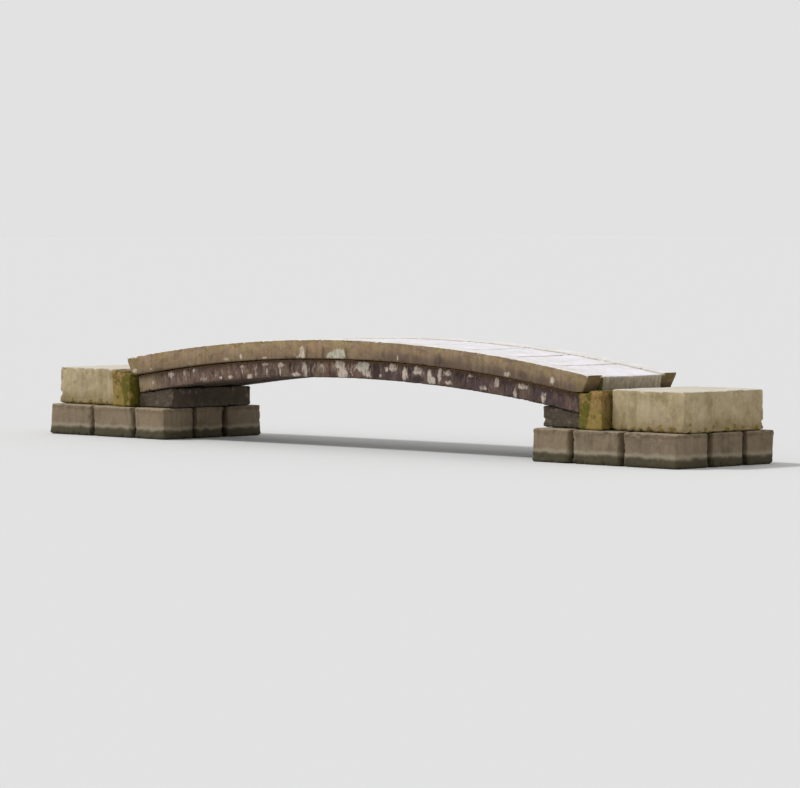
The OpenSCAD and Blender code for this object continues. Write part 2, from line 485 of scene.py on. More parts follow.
def from_level(level):
    """A measure of how far each vertex lies from a level bed."""
    return lambda places: np.abs(places[:, 2] - level)


def from_soffit(places):
    """How far each vertex lies from the girders' underside."""
    return np.abs(np.hypot(places[:, 0], places[:, 2] - CENTRE_Z) - UNDER_RADIUS)


def weather_block(stone, cell, depth, *bed_measures):
    """Gives a hewn stone its skin, its hollows up to depth except near its beds, and knocked edges."""
    even_skin(stone, cell)
    skin = places_of(stone)
    gaps = np.min([measure(skin) for measure in bed_measures], axis=0)
    free = mark(stone, "free faces", np.clip(gaps / BED_REACH, 0, 1))
    edges = mark(stone, "edges", near_an_edge(box_distances(skin), reach=0.07))
    wear(stone, SPLIT, depth, free)
    wear(stone, HEWN, 0.5 * depth, free)
    wear(stone, RUB, 0.003)
    wear(stone, CHIP, 0.030, edges)
    remember_wear(stone, skin)


# %% The course of blocks
BLOCK_CELL = 0.018
BLOCK_WEAR = 0.017
block_nodes = sorted(n for n in frame["nodes"] if "_block_" in n)
COURSE_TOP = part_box(block_nodes[0])[1].z
blocks = [hewn_box(node, lean=0.018, bevel=0.022, seed=100 + k) for k, node in enumerate(block_nodes)]
for block in blocks:
    weather_block(block, BLOCK_CELL, BLOCK_WEAR, from_level(0), from_level(COURSE_TOP))
print("blocks:", len(blocks), "with", len(blocks[0].data.polygons), "faces in the first")

# %% [markdown]
# A bearing stone is hewn in the same way, and then its top is cut to a slope. The slope is the chord of the
# girders' underside, from the stone's inner edge to the girders' feet, so that they lie on it at both.

# %% The bearing stones
BEARING_CELL = 0.015
BEARING_WEAR = 0.010
girder_foot = min((v.co for v in frame["nodes"]["front_girder"].data.vertices), key=lambda p: p.z)


def bearing_stone(side, seed):
    """A hewn stone whose top slopes down outwards, under the ends of the girders."""
    node = f"{side}_bearing_stone"
    out = SIDES[side]
    low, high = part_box(node)
    stone = hewn_box(node, lean=0.005, bevel=0.014, seed=seed)
    inner_edge = Vector((low.x if out > 0 else high.x, 0, high.z))
    foot = Vector((out * abs(girder_foot.x), 0, girder_foot.z))
    slope = foot - inner_edge
    edit(stone)
    cut_away(inner_edge, out * Vector((-slope.z, 0, slope.x)))
    leave_edit()
    return stone


bearings = [bearing_stone(side, 200 + k) for k, side in enumerate(SIDES)]
for bearing in bearings:
    weather_block(bearing, BEARING_CELL, BEARING_WEAR, from_soffit, from_level(COURSE_TOP))
print("bearing stone:", [round(v, 3) for v in bearings[0].dimensions])

# %% [markdown]
# An end stone has a rebate, a step cut along its inner edge, on which the deck's end lies. It is modelled as
# the part below the ledge, whose top is then split along the shoulder, and the outer strip is drawn up. So
# the stone stays one body, with a clean corner where the deck's end lies.

# %% The end stones and the landing stones
LANDING_CELL = 0.016
LANDING_WEAR = 0.012
SHOULDER_GAP = 0.020


def end_stone(side, seed):
    """A rebated end stone: a box up to the ledge, with its outer strip drawn up to the shoulder."""
    node = f"{side}_end_stone"
    out = SIDES[side]
    low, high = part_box(node)
    stone = stone_box(f"{node}_weathered", low, Vector((high.x, high.y, ledge_z)))
    lean_corners(stone, 0.008, seed)
    edit(stone)
    shoulder_x = out * (kerb_tip.x + SHOULDER_GAP)
    bpy.ops.mesh.bisect(plane_co=(shoulder_x, 0, 0), plane_no=(1, 0, 0))
    bpy.ops.mesh.select_all(action="DESELECT")
    bpy.ops.mesh.select_mode(type="FACE")
    mesh = bmesh.from_edit_mesh(stone.data)
    for face in mesh.faces:
        face.select_set(face.normal.z > 0.9 and out * face.calc_center_median().x > out * shoulder_x)
    bmesh.update_edit_mesh(stone.data)
    draw_up = {"value": (0, 0, high.z - ledge_z)}
    bpy.ops.mesh.extrude_region_move(TRANSFORM_OT_translate=draw_up)
    leave_edit()
    return stone


end_stones = [end_stone(side, 300 + k) for k, side in enumerate(SIDES)]
for stone in end_stones:
    weather_block(stone, LANDING_CELL, LANDING_WEAR, from_level(ledge_z), from_level(COURSE_TOP))
landings = [
    hewn_box(f"{side}_landing_stone", lean=0.006, bevel=0.018, seed=400 + k) for k, side in enumerate(SIDES)
]
for landing in landings:
    weather_block(landing, LANDING_CELL, LANDING_WEAR, from_level(COURSE_TOP))
print("landing:", [round(v, 3) for v in landings[0].dimensions])

# %% [markdown]
# ## What a material can read
# The stains of a bridge follow its shape: rain runs down its faces, lichen grows on the outer ones, and dirt
# stays in the hollows. So each stone keeps a few numbers on its vertices. Its wear is there already. Now each
# gets a tone of its own, as if from its own bed of the quarry, and the beams get their lichen and damp.
# Numbers on vertices need no picture wrapped round the stone, and they stay with it wherever it goes.

# %% Tone and lichen on the vertices
def give_tone(stones, seed):
    """Gives each stone of a family its own tone, from 0, dark, to 1, light."""
    draw = random.Random(seed)
    for stone in stones:
        remember(stone, "tone", np.full(len(stone.data.vertices), draw.random()))


FAMILIES = (kerbs, girders, slabs, blocks, bearings, end_stones, landings)
for k, family in enumerate(FAMILIES):
    give_tone(family, 500 + k)
print("stones with a tone:", sum(len(family) for family in FAMILIES))

# %% [markdown]
# Lichen grows in patches of a hand's size, and the largest of them give this bridge its face. Noise can't put
# a patch at a chosen place, so they are listed one by one: distance along the curve from the crown, how far
# down the face, length and height, all in metres, then how closely the patch is grown, and its colour from 0,
# grey-green, to 1, pinkish. At two places dripping water keeps the stone clean, so the patches there end at
# an upright line. Dark, damp stains are listed in the same way, each with an amount but no colour.

# %% Lichen and stains of the two outer faces
KERB_LICHEN = [
    (-2.735, 0.135, 0.07, 0.05, 1.1, 0.6), (-2.52, 0.140, 0.02, 0.03, 1.0, 0.8),
    (-1.52, 0.142, 0.07, 0.03, 0.9, 0.8), (-1.32, 0.129, 0.035, 0.045, 1.5, 0.9),
    (-1.015, 0.149, 0.05, 0.02, 1.3, 0.9), (-0.63, 0.130, 0.03, 0.05, 0.75, 0.8),
    (-0.535, 0.108, 0.055, 0.08, 1.7, 0.9), (-0.535, 0.150, 0.11, 0.05, 1.7, 0.8),
    (-0.125, 0.160, 0.20, 0.11, 1.9, 0.0), (-0.09, 0.118, 0.13, 0.07, 1.9, 0.0),
    (-0.04, 0.130, 0.07, 0.09, 1.9, 0.0), (0.64, 0.125, 0.03, 0.05, 0.8, 0.7),
    (1.93, 0.140, 0.08, 0.04, 1.0, 0.5), (2.44, 0.110, 0.05, 0.06, 1.1, 0.7),
]
KERB_STAINS = [
    (-1.70, 0.125, 0.10, 0.09, 0.6), (-1.39, 0.100, 0.02, 0.14, 0.5), (-0.475, 0.115, 0.03, 0.12, 0.6),
    (-0.27, 0.125, 0.05, 0.10, 0.6), (0.015, 0.110, 0.03, 0.12, 0.7), (0.47, 0.070, 0.06, 0.15, 0.5),
    (0.86, 0.080, 0.03, 0.15, 0.4), (1.12, 0.115, 0.12, 0.09, 0.7), (1.18, 0.070, 0.04, 0.14, 0.5),
    (1.58, 0.090, 0.04, 0.14, 0.4), (2.10, 0.120, 0.10, 0.08, 0.5),
]
GIRDER_LICHEN = [
    (-2.545, 0.095, 0.04, 0.05, 1.0, 0.6), (-2.30, 0.047, 0.08, 0.05, 1.25, 0.7),
    (-2.115, 0.045, 0.03, 0.05, 1.2, 0.5), (-1.99, 0.035, 0.04, 0.03, 1.0, 0.6),
    (-1.87, 0.117, 0.09, 0.04, 0.55, 0.9), (-1.635, 0.125, 0.05, 0.02, 1.1, 0.9),
    (-1.505, 0.126, 0.05, 0.03, 1.3, 0.9), (-1.345, 0.040, 0.06, 0.03, 0.8, 0.8),
    (-1.35, 0.095, 0.02, 0.08, 0.6, 0.8), (-1.255, 0.135, 0.07, 0.05, 1.4, 0.9),
    (-1.19, 0.080, 0.08, 0.11, 0.45, 1.0), (-1.70, 0.090, 0.14, 0.12, 0.35, 0.9),
    (-1.04, 0.035, 0.13, 0.03, 1.0, 0.3), (-1.03, 0.090, 0.02, 0.07, 0.9, 0.3),
    (-0.84, 0.045, 0.09, 0.04, 1.3, 0.8), (-0.86, 0.105, 0.02, 0.09, 1.1, 0.8),
    (-0.66, 0.130, 0.10, 0.04, 1.2, 0.6), (-0.545, 0.090, 0.06, 0.13, 1.2, 0.4),
    (-0.42, 0.060, 0.02, 0.04, 1.0, 0.8), (-0.33, 0.055, 0.04, 0.03, 1.4, 0.9),
    (-0.31, 0.105, 0.02, 0.08, 1.0, 0.9), (-0.10, 0.045, 0.11, 0.08, 1.25, 0.5),
    (-0.065, 0.115, 0.14, 0.09, 1.3, 0.5), (0.05, 0.090, 0.06, 0.14, 0.4, 0.8),
    (0.185, 0.052, 0.14, 0.08, 2.0, 0.1), (0.235, 0.110, 0.10, 0.06, 1.2, 0.4),
    (0.275, 0.110, 0.02, 0.09, 1.2, 0.4), (0.395, 0.125, 0.03, 0.05, 1.1, 0.1),
    (0.47, 0.060, 0.05, 0.04, 1.1, 0.9), (0.55, 0.040, 0.11, 0.06, 1.2, 0.9),
    (0.695, 0.085, 0.06, 0.13, 1.1, 0.8), (0.85, 0.050, 0.13, 0.07, 1.1, 0.7),
    (0.99, 0.075, 0.05, 0.09, 1.3, 0.7), (1.02, 0.120, 0.09, 0.06, 1.3, 0.3),
    (1.115, 0.070, 0.05, 0.12, 1.2, 0.8), (1.20, 0.045, 0.09, 0.05, 1.1, 0.9),
    (1.22, 0.115, 0.08, 0.04, 0.9, 0.9), (1.48, 0.040, 0.06, 0.03, 1.0, 0.7),
    (1.63, 0.120, 0.09, 0.04, 1.0, 0.6), (1.78, 0.055, 0.05, 0.08, 1.2, 0.8),
    (2.00, 0.115, 0.04, 0.09, 1.1, 0.3), (2.08, 0.045, 0.11, 0.04, 1.1, 0.7),
    (2.33, 0.095, 0.06, 0.09, 1.1, 0.6),
]
GIRDER_STAINS = [
    (-2.42, 0.030, 0.16, 0.04, 0.7), (-2.06, 0.115, 0.10, 0.08, 0.5), (-1.20, 0.120, 0.05, 0.10, 0.5),
    (-0.96, 0.115, 0.10, 0.09, 1.0), (-0.72, 0.060, 0.09, 0.09, 0.9), (-0.45, 0.100, 0.09, 0.14, 1.0),
    (-0.22, 0.110, 0.06, 0.12, 0.5), (0.34, 0.070, 0.14, 0.13, 1.0), (0.76, 0.065, 0.05, 0.14, 0.9),
    (0.86, 0.120, 0.14, 0.05, 0.9), (0.94, 0.060, 0.03, 0.12, 0.7), (1.34, 0.060, 0.13, 0.11, 0.9),
    (1.55, 0.050, 0.08, 0.09, 0.8), (1.86, 0.070, 0.12, 0.12, 0.8), (2.20, 0.080, 0.10, 0.12, 0.7),
]
DRIP_LINES = (-0.495, -0.005)
DRIP_REACH = 0.2
FACE_REACH = 0.03


def patch_shares(places, patches, outer_radius, face):
    """How much of each patch lies on each vertex of a beam's face: -1 is the front one and 1 the back.

    A patch is full to about 0.6 of its half size, and fades out by about 1.5 of it.
    """
    along = -face * np.arctan2(places[:, 0], places[:, 2] - CENTRE_Z) * DECK_RADIUS
    down = outer_radius - np.hypot(places[:, 0], places[:, 2] - CENTRE_Z)
    outer_y = places[:, 1].max() if face > 0 else places[:, 1].min()
    on_face = np.clip(1 - np.abs(places[:, 1] - outer_y) / FACE_REACH, 0, 1)
    for centre, depth, length, height, closeness, *_ in patches:
        spread = np.hypot((along - centre) / (0.5 * length), (down - depth) / (0.5 * height))
        patch = closeness * np.clip(1.7 - 1.15 * spread, 0, 1)
        for line in DRIP_LINES:
            if 0 < line - centre < DRIP_REACH:
                patch[along > line] = 0
        yield patch * on_face


def grow_lichen(beam, lichen, stains, outer_radius, face):
    """Lays soft-edged patches of lichen and stains on one long face of a beam."""
    places = places_of(beam)
    cover, warmth, damp = np.zeros(len(places)), np.full(len(places), 0.6), np.zeros(len(places))
    for patch, (*_, warm) in zip(patch_shares(places, lichen, outer_radius, face), lichen):
        warmth = np.where(patch > cover, warm, warmth)
        cover = np.maximum(cover, patch)
    for patch in patch_shares(places, stains, outer_radius, face):
        damp = np.maximum(damp, patch)
    remember(beam, "lichen", cover)
    remember(beam, "warmth", warmth)
    remember(beam, "damp", damp)


def elsewhere(patches):
    """The same patches for the back, shifted and thinned so that the two faces aren't alike."""
    return [(0.23 - centre, depth, 0.8 * length, height, 0.9 * closeness, *rest)
            for centre, depth, length, height, closeness, *rest in patches[1:]]


grow_lichen(kerbs[0], KERB_LICHEN, KERB_STAINS, DECK_RADIUS, -1)
grow_lichen(kerbs[1], elsewhere(KERB_LICHEN), elsewhere(KERB_STAINS), DECK_RADIUS, 1)
grow_lichen(girders[0], GIRDER_LICHEN, GIRDER_STAINS, GIRDER_RADIUS, -1)
grow_lichen(girders[1], [], [], GIRDER_RADIUS, -1)
grow_lichen(girders[2], elsewhere(GIRDER_LICHEN), elsewhere(GIRDER_STAINS), GIRDER_RADIUS, 1)
print("lichen patches:", len(KERB_LICHEN), "on a kerb and", len(GIRDER_LICHEN), "on a girder")

# %% [markdown]
# ## Building blocks for the materials
# A material is a tree of nodes that hand numbers and colours to each other, and two small classes keep it
# readable. An Amount is a number that nodes work out, and it takes the usual signs for sums. A Coat is
# built up in thin layers, as real weathering is: stone, then streaks, stains, lichen and moss.

# %% Amounts
def shade(red, green, blue):
    """A colour as a screen shows it, from 0 to 255, as the amounts of light that nodes work with."""
    light = [v / 255 / 12.92 if v <= 10 else ((v / 255 + 0.055) / 1.055) ** 2.4 for v in (red, green, blue)]
    return (*light, 1.0)


def put(tree, kind, inputs=None, **settings):
    """Adds a node, and feeds each input a number, a colour, an amount or another node's socket."""
    node = tree.nodes.new(kind)
    for name, value in settings.items():
        setattr(node, name, value)
    for name, value in (inputs or {}).items():
        value = getattr(value, "socket", value)
        if isinstance(value, bpy.types.NodeSocket):
            tree.links.new(value, node.inputs[name])
        else:
            node.inputs[name].default_value = value
    return node


class Amount:
    """A number that nodes work out anew at each spot of a surface."""

    def __init__(self, tree, socket):
        self.tree, self.socket = tree, socket

    def maths(self, operation, other=0.0):
        """One sum on this amount and another, or on this amount and a plain number."""
        node = put(self.tree, "ShaderNodeMath", {0: self, 1: other}, operation=operation)
        return Amount(self.tree, node.outputs[0])

    def __add__(self, other):
        return self.maths("ADD", other)

    def __sub__(self, other):
        return self.maths("SUBTRACT", other)

    def __rsub__(self, number):
        return self * -1 + number

    def __mul__(self, other):
        return self.maths("MULTIPLY", other)

    def step(self, low, high):
        """0 below low, 1 above high, and a soft step between them. With low above high it falls."""
        soft = {"Value": self, "From Min": low, "From Max": high}
        node = put(self.tree, "ShaderNodeMapRange", soft, interpolation_type="SMOOTHSTEP")
        return Amount(self.tree, node.outputs["Result"])


# %% [markdown]
# The stains need to know where on the bridge they are. A node group works that out once: how far along the
# curve, how far below the deck's top line, how far across, how high, and how much a face looks up.

# %% A group that finds the place on the bridge
def place_group():
    """The node group that turns Object coordinates into places on the curve."""
    group = bpy.data.node_groups.new("place on the bridge", "ShaderNodeTree")
    spot = put(group, "ShaderNodeTexCoord").outputs["Object"]
    normal = put(group, "ShaderNodeNewGeometry").outputs["Normal"]
    x, y, z = (Amount(group, s) for s in put(group, "ShaderNodeSeparateXYZ", {0: spot}).outputs)
    up = z - CENTRE_Z
    radius = (x * x + up * up).maths("SQRT")
    found = {
        "Along": x.maths("ARCTAN2", up) * DECK_RADIUS,
        "Below": DECK_RADIUS - radius,
        "Across": y.maths("ABSOLUTE"),
        "Height": z,
        "Upwards": put(group, "ShaderNodeSeparateXYZ", {0: normal}).outputs["Z"],
    }
    for name in found:
        group.interface.new_socket(name=name, in_out="OUTPUT", socket_type="NodeSocketFloat")
    put(group, "NodeGroupOutput", found)
    return group


PLACE = place_group()
print("a material can ask for:", [socket.name for socket in PLACE.interface.items_tree])


# %% A material in layers
class Coat:
    """A material with its colour and relief so far, and with the amounts that say where a spot is."""

    def __init__(self, name):
        self.material = bpy.data.materials.new(name)
        self.material.use_nodes = True
        self.tree = self.material.node_tree
        self.spot = put(self.tree, "ShaderNodeTexCoord").outputs["Object"]
        places = put(self.tree, "ShaderNodeGroup", node_tree=PLACE).outputs
        amounts = [Amount(self.tree, socket) for socket in places]
        self.along, self.below, self.across, self.height, self.upwards = amounts

    def noise(self, scale, detail=4.0, roughness=0.55, stretch=(1, 1, 1), shift=(0, 0, 0)):
        """Cloudy noise around one half, with so many clouds to the metre. A stretch below 1 draws it out."""
        moves = {0: self.spot, 1: stretch, 2: shift}
        moved = put(self.tree, "ShaderNodeVectorMath", moves, operation="MULTIPLY_ADD").outputs[0]
        grain = {"Vector": moved, "Scale": scale, "Detail": detail, "Roughness": roughness}
        return Amount(self.tree, put(self.tree, "ShaderNodeTexNoise", grain).outputs[0])

    def kept(self, name):
        """The number that remember() kept on the vertices."""
        return Amount(self.tree, put(self.tree, "ShaderNodeAttribute", attribute_name=name).outputs["Fac"])

    def mix(self, amount, under, colour, blend="MIX"):
        """One colour laid over another by an amount from 0 to 1."""
        layers = {0: amount, 6: under, 7: colour}
        return put(self.tree, "ShaderNodeMix", layers, data_type="RGBA", blend_type=blend).outputs[2]

    def lay(self, amount, colour, blend="MIX"):
        """Lays a colour over the coat by an amount from 0 to 1."""
        self.colour = self.mix(amount, self.colour, colour, blend)

    def finish(self, roughness=0.9, depth=0.004):
        """Feeds the colour and the relief to the material's shader, and hands back the material."""
        shader = self.tree.nodes["Principled BSDF"]
        shader.inputs["Roughness"].default_value = roughness
        shader.inputs["Specular IOR Level"].default_value = 0.35
        self.tree.links.new(self.colour, shader.inputs["Base Color"])
        bump = put(self.tree, "ShaderNodeBump", {"Height": self.relief, "Strength": 0.7, "Distance": depth})
        self.tree.links.new(bump.outputs["Normal"], shader.inputs["Normal"])
        return self.material


# %% [markdown]
# The stone itself comes first. Granite and tuff are mixtures of pale and dark crystals, so the colour wanders
# between two shades in clouds of several sizes, with specks on top. The same clouds raise and lower the
# surface a little, so light catches just where the colour changes.

# %% Bare stone and what grows on it
def bare_stone(coat, dark, light):
    """Begins a coat with the colour and relief of weathered stone: clouds, grain, pits and specks."""
    clouds = coat.noise(12, detail=6, roughness=0.62)
    wander = coat.noise(1.8, detail=2) * 0.45 + clouds * 0.55 + coat.kept("tone") * 0.12
    coat.colour = coat.mix(wander.step(0.38, 0.68), dark, light)
    grain = coat.noise(170, detail=2, roughness=0.7)
    coat.lay(grain.step(0.54, 0.70), (0.62, 0.60, 0.58, 1), "MULTIPLY")
    coat.lay(grain.step(0.44, 0.30), (0.30, 0.29, 0.26, 1), "SCREEN")
    pits = coat.noise(60, detail=3).step(0.62, 0.72)
    coat.relief = clouds * 0.8 + grain * 0.12 - pits * 0.15


def mottled(coat, blots, stretch=(1, 1, 1)):
    """Lays soft blots over the stone, each with a colour, so many to the metre, and an amount."""
    for number, (blot, scale, amount) in enumerate(blots):
        country = (3.7 * number, 1.9, 5.3)
        clouds = coat.noise(scale, detail=5, roughness=0.6, stretch=stretch, shift=country)
        coat.lay(clouds.step(0.48, 0.62) * amount, blot)


def rain_streaks(coat, colour, amount, width=0.03, mirror=False):
    """Lays upright streaks on the stone, which rain leaves as it runs down a face."""
    runs = coat.noise(1 / width, roughness=0.6, stretch=(-1 if mirror else 1, 1, 0.10))
    coat.lay(runs.step(0.48, 0.66) * amount, colour)


def lichen_crust(coat, crust, thin=0.0):
    """Ragged pale crusts: grown where the vertices say so, and in a few more spots by themselves."""
    smeared = (1, 1, 0.5)
    ragged = coat.noise(36, detail=6, roughness=0.75, stretch=smeared) * 1.6
    grown = coat.kept("lichen") * 0.42 + coat.noise(2.3, detail=1) * (0.08 + thin)
    amount = (ragged + grown).step(1.02, 1.30)
    thick = coat.noise(45, stretch=smeared).step(0.36, 0.60)
    crust = coat.mix(coat.kept("warmth"), crust, (1.20, 1.05, 1.06, 1), "MULTIPLY")
    thin_crust = coat.mix(1.0, crust, (0.70, 0.68, 0.66, 1), "MULTIPLY")
    coat.lay(amount * 0.9, coat.mix(thick, thin_crust, crust))
    coat.relief = coat.relief + amount * 0.25


def moss_cushions(coat, mask, dark, light):
    """Soft moss where the mask allows it, thickest in the middle of each cushion."""
    amount = (coat.noise(17, detail=5, roughness=0.6) + mask * 0.45).step(0.72, 0.86)
    tufts = coat.noise(120, detail=3, roughness=0.7).step(0.35, 0.65)
    coat.lay(amount, coat.mix(tufts, dark, light))
    coat.relief = coat.relief + amount * 0.6


# %% [markdown]
# ## The finish of each kind of stone
# Faces that look up are painted paler, partly as bleaching by rain and sun and partly as painted sunlight,
# and faces that look down are painted darker as painted shade. Dirt stays in the hollows that wear has left.
# These layers come back on every stone, each time in that stone's own colours.

# %% Stains, bleaching with painted sunlight, painted shade and dirt
def stained(coat, dark):
    """Darkens the stone in ragged, soft-edged places where the vertices say so."""
    ragged = coat.noise(24, detail=5, stretch=(1, 1, 0.6)) - 0.5
    coat.lay((coat.kept("damp") * 0.5 + ragged).step(0.05, 0.50), dark, "MULTIPLY")


def bleached_with_painted_sunlight(coat, pale, amount):
    """Pales faces that look up, unevenly, so that the stone shows through: partly bleaching, partly painted
    sunlight.
    """
    uneven_share = coat.noise(5, detail=9, roughness=0.72).step(0.34, 0.60) * 0.28 + 0.72
    coat.lay(coat.upwards.step(0.45, 0.85) * uneven_share * amount, pale)


def painted_shade_below(coat, dark, amount=0.85):
    """Darkens faces that look down: painted shade."""
    coat.lay(coat.upwards.step(-0.35, -0.8) * amount, dark)


def dirt_in_hollows(coat, dark, fresh):
    """Dirt where the skin was lowered a little, and fresh stone where a chip is gone."""
    lowered = coat.kept("lowered")
    coat.lay(lowered.step(0.35, 0.75) * 0.30, dark)
    coat.lay(lowered.step(0.95, 1.5) * 0.35, fresh)


# %% [markdown]
# The kerb is brown-grey granite, lighter along its upper edge and darker towards the joint, with faint
# upright streaks and a narrow band of painted shade along the joint itself. Right of the crown it is greyer
# and bluer, and darker still at its foot. Its top is painted nearly as pale as the deck, partly as bleaching
# and partly as painted sunlight, the upper part of its inner face is painted pale as painted sunlight, and
# its underside gets painted shade.

# %% Kerb finish
def kerb_moss(coat):
    """A thin olive film along the upper edge, left of the crown, and on both ends."""
    near = (coat.along + 0.95).maths("ABSOLUTE").step(1.0, 0.6)
    edge = coat.below.step(0.040, 0.012) * near
    ends = coat.along.maths("ABSOLUTE").step(2.58, 2.76)
    film = coat.noise(14).step(0.42, 0.60)
    coat.lay(edge.maths("MAXIMUM", ends) * film * 0.6, shade(118, 108, 48))


def kerb_finish():
    coat = Coat("brown-grey kerb granite")
    bare_stone(coat, shade(142, 117, 80), shade(174, 147, 103))
    blots = [(shade(166, 131, 102), 4, 0.60), (shade(142, 134, 84), 6, 0.42), (shade(160, 140, 124), 8, 0.60),
             (shade(114, 88, 64), 11, 0.45), (shade(138, 112, 98), 7, 0.40)]
    mottled(coat, blots, stretch=(1, 1, 1.6))
    coat.lay(coat.below.step(0.015, KERB_DEPTH) * 0.70, shade(114, 96, 77))
    right_half = coat.along.step(0.1, 0.7)
    coat.lay(right_half * 0.45, (0.74, 0.75, 0.88, 1), "MULTIPLY")
    coat.lay(right_half * coat.below.step(0.065, 0.135) * 0.8, (0.56, 0.54, 0.62, 1), "MULTIPLY")
    stained(coat, (0.48, 0.44, 0.44, 1))
    rain_streaks(coat, shade(100, 82, 62), 0.30, width=0.045)
    rain_streaks(coat, shade(168, 149, 116), 0.20, width=0.07, mirror=True)
    dirt_in_hollows(coat, shade(92, 75, 54), shade(164, 145, 112))
    # A narrow dark band at the kerb's foot: painted shade along the joint with the girder.
    coat.lay(coat.below.step(KERB_DEPTH - 0.016, KERB_DEPTH - 0.002) * 0.6, shade(84, 66, 46))
    lichen_crust(coat, shade(198, 194, 174))
    # The underside is darkened as painted shade.
    painted_shade_below(coat, shade(112, 92, 66))
    kerb_moss(coat)
    # The top is painted pale: partly bleaching, partly painted sunlight.
    bleached_with_painted_sunlight(coat, shade(240, 238, 239), 0.95)
    # The upper part of the inner face, towards the deck, is painted pale as painted sunlight.
    inner_face_painted_light = coat.across.step(slab_high.y + 0.034, slab_high.y + 0.026) * coat.below.step(0.030, 0.018)
    coat.lay(inner_face_painted_light * 0.85, shade(226, 222, 214))
    return coat.finish()


# %% [markdown]
# The girder under it is darker and reddish, because it is a softer stone that never gets the sun. Just under
# the joint lies a narrow band of painted shadow, the shadow of the kerb's overhang, and below it rain has
# washed a row of pale teeth. The ledge that looks up under the kerb is painted lighter as painted light, the
# underside gets painted shade, and the crusts of lichen are largest here.

# %% Girder finish
def washed_teeth(coat, down):
    """Short pale streaks that hang below the band of painted shadow under the joint, mostly left of the
    crown.
    """
    runs = coat.noise(34, detail=3, roughness=0.6, stretch=(-1, 1, 0.22))
    teeth = runs.step(0.53, 0.62) * down.step(0.110, 0.050)
    mostly_left = coat.along.step(0.9, -0.3) * 0.6 + 0.4
    coat.lay(teeth * mostly_left * 0.7, shade(146, 128, 108))


def girder_finish():
    coat = Coat("dark reddish girder stone")
    bare_stone(coat, shade(76, 55, 45), shade(118, 92, 77))
    blots = [(shade(104, 72, 58), 4, 0.6), (shade(128, 108, 88), 9, 0.5), (shade(66, 48, 44), 12, 0.6),
             (shade(104, 90, 88), 15, 0.4)]
    mottled(coat, blots, stretch=(1, 1, 0.6))
    far_left = coat.along.step(-2.35, -2.62)
    coat.lay(far_left * 0.75, shade(154, 134, 102))
    right_half = coat.along.step(0.15, 0.40)
    coat.lay(right_half * 0.7, (0.70, 0.66, 0.76, 1), "MULTIPLY")
    coat.lay(right_half * coat.noise(5).step(0.44, 0.56) * 0.6, shade(66, 52, 58))
    stained(coat, (0.42, 0.36, 0.40, 1))
    rain_streaks(coat, shade(54, 40, 32), 0.5, width=0.022)
    down = coat.below - KERB_DEPTH - coat.noise(26) * 0.05
    washed_teeth(coat, down)
    dirt_in_hollows(coat, shade(62, 47, 37), shade(140, 122, 100))
    # A dark band just under the joint: painted shadow of the kerb's overhang.
    coat.lay(down.step(0.022, -0.012) * 0.85, shade(84, 62, 42))
    # The ledge that looks up under the kerb is painted lighter: painted light in the shadowed joint.
    ledge_painted_light = coat.upwards.step(0.4, 0.8)
    coat.lay(ledge_painted_light * 0.85, shade(176, 140, 98))
    coat.lay(down.step(GIRDER_DEPTH - 0.055, GIRDER_DEPTH - 0.02) * 0.35, shade(78, 60, 46))
    lichen_crust(coat, shade(194, 189, 173), thin=0.07)
    # The underside is darkened as painted shade.
    painted_shade_below(coat, shade(66, 56, 40), 0.9)
    return coat.finish(depth=0.005)


# %% [markdown]
# The deck is pale stone, painted almost white on top, partly as bleaching and partly as painted sunlight,
# and swept clean by feet. Its sides keep the stone's tan, and its undersides get painted shade. A little dust
# and moss stay in the joints between the slabs and along the kerbs, where nobody steps.

# %% Deck finish
def speckled(coat, amount):
    """Dots the stone with its own dark crystals, which show where it is clean."""
    specks = coat.noise(210, detail=2, roughness=0.8).step(0.58, 0.70)
    coat.lay(specks * amount, (0.72, 0.70, 0.68, 1), "MULTIPLY")


def to_nearest_edge(coat):
    """The distance to the nearest joint or kerb. The two ends of the deck don't count."""
    pitch, deck_end = SLAB_PITCH * DECK_RADIUS, DECK_ANGLE * DECK_RADIUS
    from_joint = 0.5 * (len(slabs) % 2)
    to_joint = (coat.along.maths("DIVIDE", pitch) + from_joint).maths("PINGPONG", 0.5) * pitch
    past_end = coat.along.maths("ABSOLUTE").step(deck_end - 0.06, deck_end - 0.03)
    to_kerb = slab_high.y - coat.across
    return (to_joint + past_end).maths("MINIMUM", to_kerb)


def deck_finish():
    coat = Coat("pale deck stone")
    bare_stone(coat, shade(166, 155, 134), shade(202, 192, 174))
    rain_streaks(coat, shade(128, 116, 92), 0.5)
    # The underside is darkened as painted shade.
    painted_shade_below(coat, shade(120, 111, 92))
    # The sides keep this colour. Only faces that look up get the near-white top: partly bleaching, partly
    # painted sunlight.
    sides = coat.colour
    bleached_with_painted_sunlight(coat, shade(245, 243, 250), 0.98)
    mottled(coat, [(shade(226, 221, 216), 4, 0.40), (shade(212, 205, 196), 13, 0.25)])
    speckled(coat, 0.7)
    coat.colour = coat.mix(coat.upwards.step(0.45, 0.85), sides, coat.colour)
    to_edge = to_nearest_edge(coat)
    dusty = (to_edge + coat.noise(30, detail=5, roughness=0.65) * 0.06).step(0.070, 0.028)
    coat.lay(dusty * 0.35, shade(188, 180, 160))
    dirt_in_hollows(coat, shade(200, 193, 180), shade(240, 238, 232))
    moss_cushions(coat, to_edge.step(0.014, 0.003), shade(84, 80, 42), shade(122, 118, 62))
    return coat.finish(roughness=0.85, depth=0.002)


# %% [markdown]
# Bearing stones and blocks are rough grey-brown stone. The bearing stones are painted much darker, as painted
# shade, for they lie in shadow under the girders. The blocks' feet stand in the water, which leaves a
# dark green band of algae and, just above it, a thin pale line of lime.

